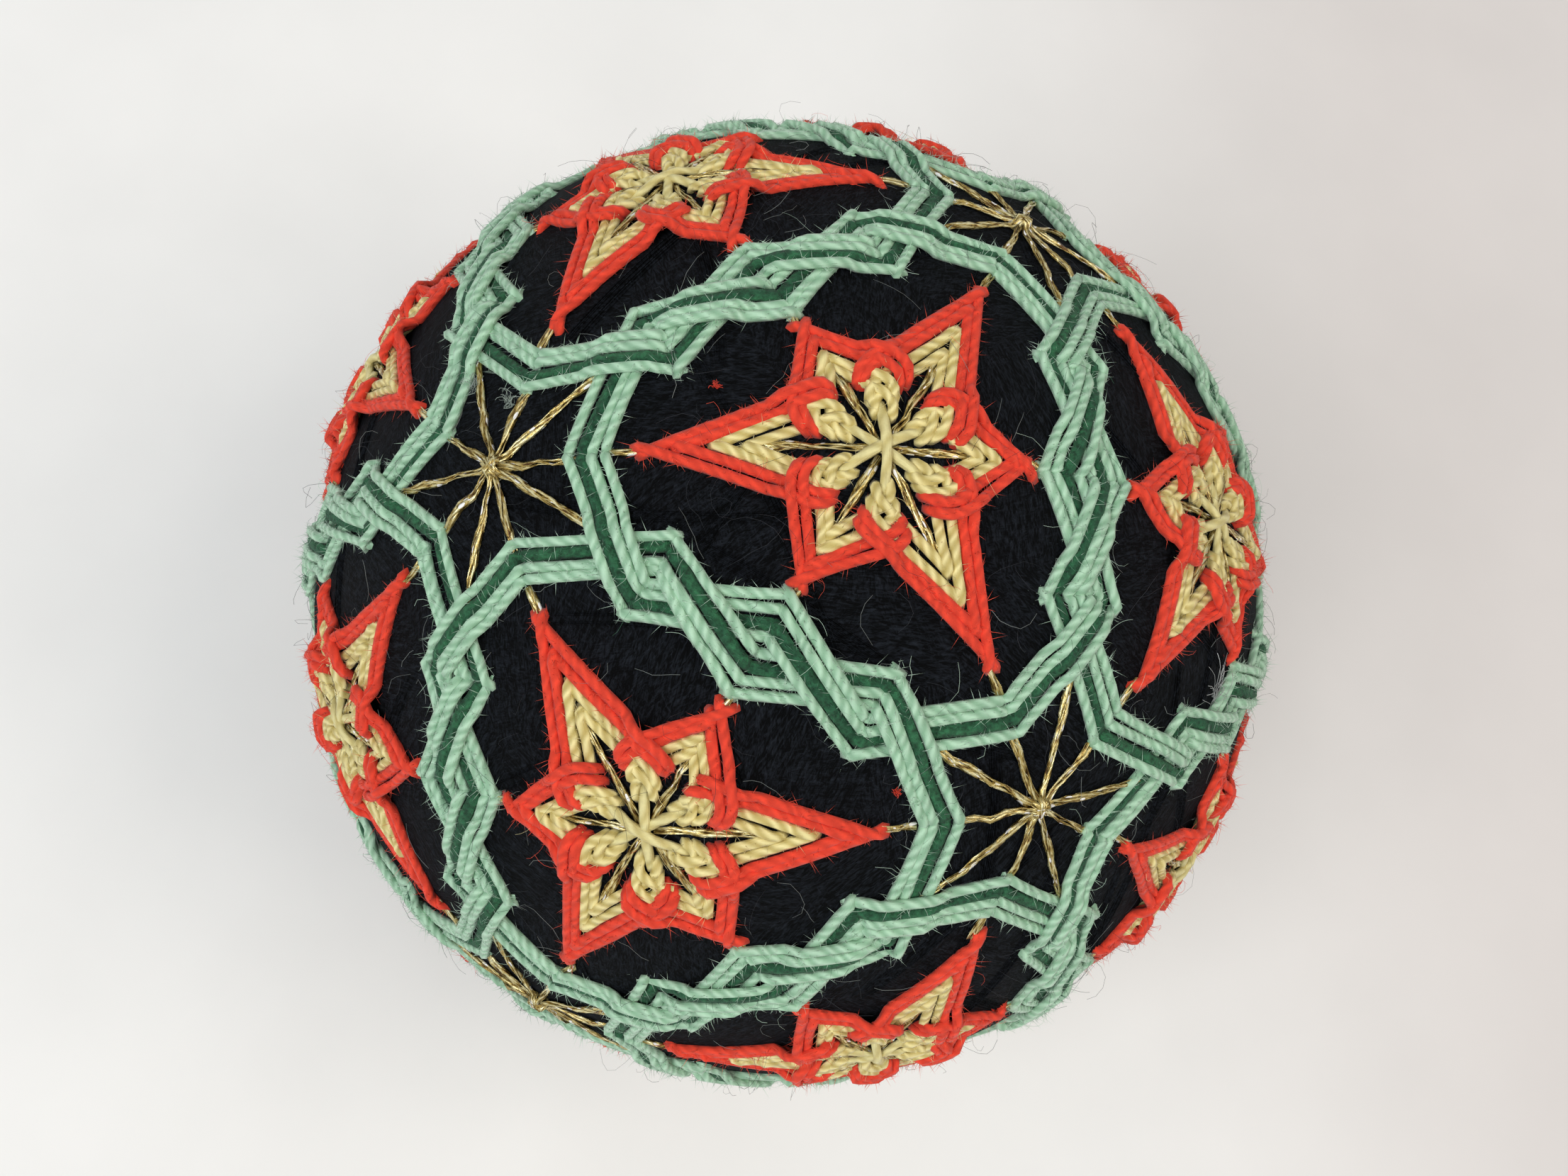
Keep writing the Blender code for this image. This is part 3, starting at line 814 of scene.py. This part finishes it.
# In each cotton the first colour is the thread painted lit on its ply crests, the second the thread painted
# shaded in the grooves.
light_cotton = cotton(
    "light_green_pearl_cotton", "#b4dabb", "#8db896", pitch=2.0, ply_depth=0.60, fuzz=0.8,
    roughness=0.48, sheen=0.25, mottling=0.09)
dark_cotton = cotton(
    "dark_green_soft_cotton", "#2b5f3f", "#235137", roughness=0.95, sheen=0.05, mottling=0.60,
    grain=2600.0, felt=4.0)
light_upper, light_lower, dark_courses = [], [], []
for number, triangle in enumerate(TRIANGLES):
    rows = ring_rows(triangle)
    dark_courses += rows["dark"]
    if number < 10:
        light_upper += rows["light"]
    else:
        light_lower += rows["light"]
upper = [f"ring_{number:02d}" for number in range(1, 11)]
lower = [f"ring_{number:02d}" for number in range(11, 21)]
greens = thread_piece(
    "light_green_ring_rows_upper", light_upper, GREEN_ROUND, 0.0, light_cotton,
    flat=0.92, uneven=0.02)
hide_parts(*upper)
greens = thread_piece(
    "light_green_ring_rows_lower", light_lower, GREEN_ROUND, 0.0, light_cotton,
    flat=0.92, uneven=0.02)
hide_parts(*lower)
darks = thread_piece(
    "dark_green_ring_rows", dark_courses, DARK_ROUND, 0.0, dark_cotton,
    flat=0.62, uneven=0.03)
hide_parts(*upper, *lower)

# The fuzz.
# Fine cotton fibres: a short nap on every thread, longer curls that have worked loose, grey and
# blue-black curls on the winding, and a few tufts of lint. They soften all the outlines.

NAP_LENGTH = 1.15
NAP_RADIUS = 0.022
NAP_LEAN = 0.8
NAP_TOUSLE = 0.40
LOOSE_LENGTHS = (1.0, 3.2)
LOOSE_STAND = 0.8
LOOSE_CURL = 1.8
LOOSE_RADIUS = 0.010
CURL_BEND = 2.0
CURL_RADIUS = 0.011
FIBRE_STATIONS = 6
FIBRE_WANDER = 0.25
OFF_THE_BALL = 0.17
LOWEST_FIBRE = 0.05 + PRESSED_LOW / MM - float(BALL_CENTRE[2]) / MM
CLEAR_OF_TABLE = 1.8


def clear_of_table(roots):
    """Whether each root stands far enough over the table for a fibre to stand off there."""
    return roots[:, 2] + float(BALL_CENTRE[2]) / MM > CLEAR_OF_TABLE


def fibre_piece(name, roots, ways, lengths, stand, curl, radius, material):
    """Curled fibres from root points, first along ways, standing off by up to stand millimetres."""
    stations = FIBRE_STATIONS
    free = clear_of_table(roots)
    roots, ways = roots[free], ways[free]
    count = len(roots)
    outward = unit(roots)
    way = unit(ways - outward * np.sum(ways * outward, axis=1, keepdims=True))
    beside = np.cross(outward, way)
    step = hand.uniform(lengths[0], lengths[1], (count, 1)) / (stations - 1)
    share = np.linspace(0.0, 1.0, stations)[None, :]
    heading = hand.normal(0.0, curl, (count, 1)) * share
    heading = heading + hand.normal(0.0, FIBRE_WANDER, (count, stations)).cumsum(axis=1)
    ahead = np.cumsum(np.cos(heading), axis=1) * step - step
    across = np.cumsum(np.sin(heading), axis=1) * step
    lift = hand.uniform(0.2, 1.0, (count, 1)) * stand * np.sin(share * hand.uniform(1.2, 3.0, (count, 1)))
    points = (
        roots[:, None] + ahead[..., None] * way[:, None] + across[..., None] * beside[:, None]
        + lift[..., None] * outward[:, None])
    distance = np.linalg.norm(points, axis=2, keepdims=True)
    points *= np.maximum(distance, BALL_RADIUS + OFF_THE_BALL) / distance
    points[..., 2] = np.maximum(points[..., 2], LOWEST_FIBRE)
    along = unit(np.gradient(points, axis=1))
    side = unit(np.cross(along, unit(outward + 0.7 * beside)[:, None]))
    up = np.cross(side, along)
    thin = radius * hand.uniform(0.7, 1.3, (count, 1, 1, 1))
    angle = np.radians((90.0, 210.0, 330.0))[None, None, :, None]
    rim = np.cos(angle) * side[:, :, None] + np.sin(angle) * up[:, :, None]
    corners = points[:, :, None] + thin * rim
    first = (np.arange(count) * stations * 3)[:, None, None, None]
    station = (np.arange(stations - 1) * 3)[None, :, None, None]
    corner = np.arange(3)[None, None, :, None]
    quad = np.concatenate((corner, corner + 3, (corner + 1) % 3 + 3, (corner + 1) % 3), axis=3)
    quads = (first + station + quad).reshape(-1)
    tips = np.array((0, 1, 2, 3 * stations - 1, 3 * stations - 2, 3 * stations - 3))
    caps = ((np.arange(count) * stations * 3)[:, None] + tips).reshape(-1)
    sizes = np.concatenate((np.full(len(quads) // 4, 4), np.full(2 * count, 3)))
    return array_piece(name, corners, np.concatenate((quads, caps)), sizes, material)


def spread_along(courses, count):
    """Random points on the courses' middle lines, even by length, and the way ahead at each."""
    starts = np.concatenate([course[0][:-1] for course in courses])
    steps = np.concatenate([np.diff(course[0], axis=0) for course in courses])
    lengths = np.linalg.norm(steps, axis=1)
    chosen = hand.choice(len(starts), size=count, p=lengths / lengths.sum())
    return starts[chosen] + hand.random((count, 1)) * steps[chosen], unit(steps[chosen])


def nap_piece(name, courses, count, radius, material):
    """A short nap: a thin pointed fibre from each of many points all over the courses' threads."""
    points, ahead = spread_along(courses, count)
    side = unit(np.cross(ahead, points))
    up = np.cross(side, ahead)
    around = hand.uniform(-0.4, pi + 0.4, (count, 1))
    outward = np.cos(around) * side + np.sin(around) * up
    roots = points + (radius - 0.03) * outward
    free = clear_of_table(roots)
    roots, ahead, outward, count = roots[free], ahead[free], outward[free], int(free.sum())
    lean = hand.normal(0.0, NAP_LEAN, (count, 1)) * ahead
    way = unit(0.8 * outward + lean + hand.normal(0.0, NAP_TOUSLE, (count, 3)))
    tips = roots + way * hand.uniform(0.35, 1.0, (count, 1)) ** 2 * NAP_LENGTH
    tips *= np.maximum(1.0, (BALL_RADIUS + 0.1) / np.linalg.norm(tips, axis=1, keepdims=True))
    tips[:, 2] = np.maximum(tips[:, 2], LOWEST_FIBRE)
    beside = unit(np.cross(way, outward + 0.3 * ahead))
    above = np.cross(way, beside)
    feet = [roots + NAP_RADIUS * (np.cos(turn) * beside + np.sin(turn) * above)
            for turn in np.radians((90, 210, 330))]
    corners = np.stack(feet + [tips], axis=1)
    faces = np.array(((0, 1, 3), (1, 2, 3), (2, 0, 3), (2, 1, 0)))
    loops = (4 * np.arange(count)[:, None, None] + faces).reshape(-1)
    return array_piece(name, corners, loops, np.full(4 * count, 3), material)


def fibre(name, colour):
    """A single cotton fibre: pale and matte, each a little lighter or darker than the next."""
    material, shader = new_material(name)
    place = add_node(material, "ShaderNodeTexCoord").outputs["Object"]
    tone = add_node(material, "ShaderNodeTexNoise", {"Vector": place, "Scale": 350.0})
    shade = add_node(
        material, "ShaderNodeMapRange",
        {"Value": tone.outputs["Fac"], "From Min": 0.3, "From Max": 0.7, "To Min": 0.7, "To Max": 1.3})
    tinted = add_node(
        material, "ShaderNodeVectorMath", {0: linear(colour)[:3], "Scale": shade.outputs[0]},
        operation="SCALE")
    material.node_tree.links.new(tinted.outputs[0], shader.inputs["Base Color"])
    shader.inputs["Roughness"].default_value = 0.7
    return material


def thread_roots(courses, count, radius):
    """Points all over the upper side of threads, each with a way that mostly follows its thread."""
    points, ahead = spread_along(courses, count)
    side = unit(np.cross(ahead, points))
    up = np.cross(side, ahead)
    around = hand.uniform(-0.3, pi + 0.3, (count, 1))
    roots = points + radius * (np.cos(around) * side + 0.92 * np.sin(around) * up)
    turn = hand.normal(0.0, 0.9, (count, 1))
    return roots, np.cos(turn) * ahead + np.sin(turn) * side


NAPS = (
    {"name": "light_green", "courses": light_upper + light_lower, "radius": 0.37, "nap": 43000,
     "loose": 520, "colour": "#c3dcc8", "slot": "light_green_thread"},
    {"name": "red", "courses": red_upper + red_lower, "radius": 0.36, "nap": 29000, "loose": 320,
     "colour": "#ea5a42", "slot": "red_thread"},
    {"name": "yellow", "courses": yellow_courses, "radius": 0.34, "nap": 6500, "loose": 90,
     "colour": "#e6daa2", "slot": "yellow_thread"},
    {"name": "dark_green", "courses": dark_courses, "radius": 0.34, "nap": 9000, "loose": 150,
     "colour": "#4a7a60", "slot": "dark_green_thread"},
)
for nap in NAPS:
    cotton_fibre = fibre(f"{nap['name']}_fibre", nap["colour"])
    nap_piece(f"{nap['name']}_nap", nap["courses"], nap["nap"], nap["radius"], cotton_fibre)
    roots, ways = thread_roots(nap["courses"], nap["loose"], nap["radius"])
    fibre_piece(
        f"{nap['name']}_loose_curls", roots, ways, LOOSE_LENGTHS, LOOSE_STAND, LOOSE_CURL, LOOSE_RADIUS,
        cotton_fibre)

CURLS = (
    {"name": "blue_black_curls", "count": 600, "lengths": (1.5, 4.5), "stand": 0.5, "colour": "#2c3036"},
    {"name": "blue_black_halo", "count": 550, "lengths": (1.5, 5.0), "stand": 2.2, "colour": "#2a2d33"},
    {"name": "grey_curls", "count": 700, "lengths": (1.2, 4.5), "stand": 0.6, "colour": "#888e8a"},
)
for curls in CURLS:
    roots = unit(hand.normal(size=(curls["count"], 3))) * (BALL_RADIUS + 0.05)
    fibre_piece(
        curls["name"], roots, hand.normal(size=roots.shape), curls["lengths"], curls["stand"],
        CURL_BEND, CURL_RADIUS, fibre(f"{curls['name']}_fibre", curls["colour"]))

TUFT_FIBRES = 26
TUFT_WAY = np.array((-0.2, 0.9, 0.3))
TUFT_STAND = 0.5
TUFT_RADIUS = 0.017
TUFTS = (
    {"name": "white_lint", "spots": ((0.745, 0.076, 0.663),),
     "spread": 0.28, "lengths": (1.2, 3.6), "curl": 1.2, "colour": "#c9cdc9", "slot": "light_green_thread"},
    {"name": "pale_lint", "spots": ((-0.645, -0.185, 0.741), (-0.569, -0.194, 0.799)),
     "spread": 0.20, "lengths": (0.5, 1.2), "curl": 3.0, "colour": "#9aa79d", "slot": "light_green_thread"},
    {"name": "red_lint", "spots": ((-0.277, -0.042, 0.960), (0.304, -0.423, 0.854), (0.70, -0.40, -0.59)),
     "spread": 0.06, "lengths": (0.2, 0.45), "curl": 3.0, "colour": "#d2402c", "slot": "red_thread"},
)
for tuft in TUFTS:
    spots = np.repeat(unit(tuft["spots"]) * (BALL_RADIUS + 0.1), TUFT_FIBRES, axis=0)
    roots = spots + hand.normal(0.0, tuft["spread"], spots.shape)
    ways = TUFT_WAY + hand.normal(0.0, 0.5, roots.shape)
    fibre_piece(
        tuft["name"], roots, ways, tuft["lengths"], TUFT_STAND, tuft["curl"], TUFT_RADIUS,
        fibre(f"{tuft['name']}_fibre", tuft["colour"]))

# The floor, the light and the camera.
# A plain pale table top, soft daylight from a wide source on the left and a weaker one on the
# right, and the camera high over the ball, where it stood for the photograph.

FLOOR_HALF = 1.5
PAINTED_SHADE_WAY = (0.80, 0.60, 0.0)
# The camera's place is in radii of the stitched ball, from its centre.
CAMERA_RADIUS = 38.70
CAMERA_SPOT = (-0.0129, -0.9253, 3.1265)
CAMERA_RIGHT = (0.8495, 0.5056, 0.1508)
CAMERA_UP = (-0.5276, 0.8127, 0.2474)
CAMERA_LENS = 34.24
CAMERA_SHIFT = (0.0014, 0.0005)


def pale_table():
    """Matte white laminate with a faint grain, and painted shade that turns it greyer and warmer to the
    right.
    """
    material, shader = new_material("matte_white_laminate")
    place = add_node(material, "ShaderNodeTexCoord").outputs["Object"]
    mottle = add_node(material, "ShaderNodeTexNoise", {"Vector": place, "Scale": 38.0, "Detail": 4.0})
    # Painted shade: the table's colour darkens to a warmer grey towards the right, where the lamps' light
    # falls off.
    across = add_node(
        material, "ShaderNodeVectorMath", {0: place, 1: PAINTED_SHADE_WAY}, operation="DOT_PRODUCT")
    share = add_node(
        material, "ShaderNodeMapRange",
        {"Value": across.outputs["Value"], "From Min": 0.02, "From Max": 0.10},
        interpolation_type="SMOOTHSTEP")
    painted_shade_mix = add_node(material, "ShaderNodeMix", {0: share.outputs[0]}, data_type="RGBA")
    painted_shade_mix.inputs[6].default_value = linear("#f4f4f1")
    painted_shade_mix.inputs[7].default_value = linear("#e0dbd7")
    mottled = add_node(
        material, "ShaderNodeMapRange",
        {"Value": mottle.outputs["Fac"], "From Min": 0.3, "From Max": 0.7, "To Min": 0.965, "To Max": 1.02})
    tinted = add_node(
        material, "ShaderNodeVectorMath", {0: painted_shade_mix.outputs[2], "Scale": mottled.outputs[0]},
        operation="SCALE")
    material.node_tree.links.new(tinted.outputs[0], shader.inputs["Base Color"])
    shader.inputs["Roughness"].default_value = 0.75
    return material


bpy.ops.mesh.primitive_plane_add(size=2.0 * FLOOR_HALF)
floor = bpy.context.object
floor.name = "table_top"
floor.data.materials.append(pale_table())

world = bpy.data.worlds.new("soft_daylight")
bpy.context.scene.world = world
world.use_nodes = True
world.node_tree.nodes["Background"].inputs["Color"].default_value = linear("#f4f6fa")
world.node_tree.nodes["Background"].inputs["Strength"].default_value = 0.50

LAMPS = (
    {"name": "near_window", "spot": (-0.27, -0.50, 0.78), "size": 0.50, "power": 4.4, "colour": "#fbfdff"},
    {"name": "side_window", "spot": (0.485, 0.14, 0.75), "size": 0.50, "power": 2.2, "colour": "#fff3e4"},
)
for lamp in LAMPS:
    light = bpy.data.lights.new(lamp["name"], "AREA")
    light.size = lamp["size"]
    light.energy = lamp["power"]
    light.color = linear(lamp["colour"])[:3]
    holder = bpy.data.objects.new(lamp["name"], light)
    bpy.context.scene.collection.objects.link(holder)
    holder.location = lamp["spot"]
    aim = Vector(BALL_CENTRE) - Vector(lamp["spot"])
    holder.rotation_euler = aim.to_track_quat("-Z", "Y").to_euler()

right, up = Vector(CAMERA_RIGHT).normalized(), Vector(CAMERA_UP).normalized()
camera = bpy.data.objects.new("camera", bpy.data.cameras.new("camera"))
bpy.context.scene.collection.objects.link(camera)
turn = Matrix((right, up, right.cross(up))).transposed().to_4x4()
turn.translation = Vector(BALL_CENTRE) + Vector(CAMERA_SPOT) * CAMERA_RADIUS * MM
camera.matrix_world = turn
camera.data.sensor_width = 36.0
camera.data.lens = CAMERA_LENS
camera.data.clip_start = 0.005
camera.data.shift_x, camera.data.shift_y = CAMERA_SHIFT
bpy.context.scene.camera = camera
bpy.context.scene.view_settings.view_transform = "Standard"
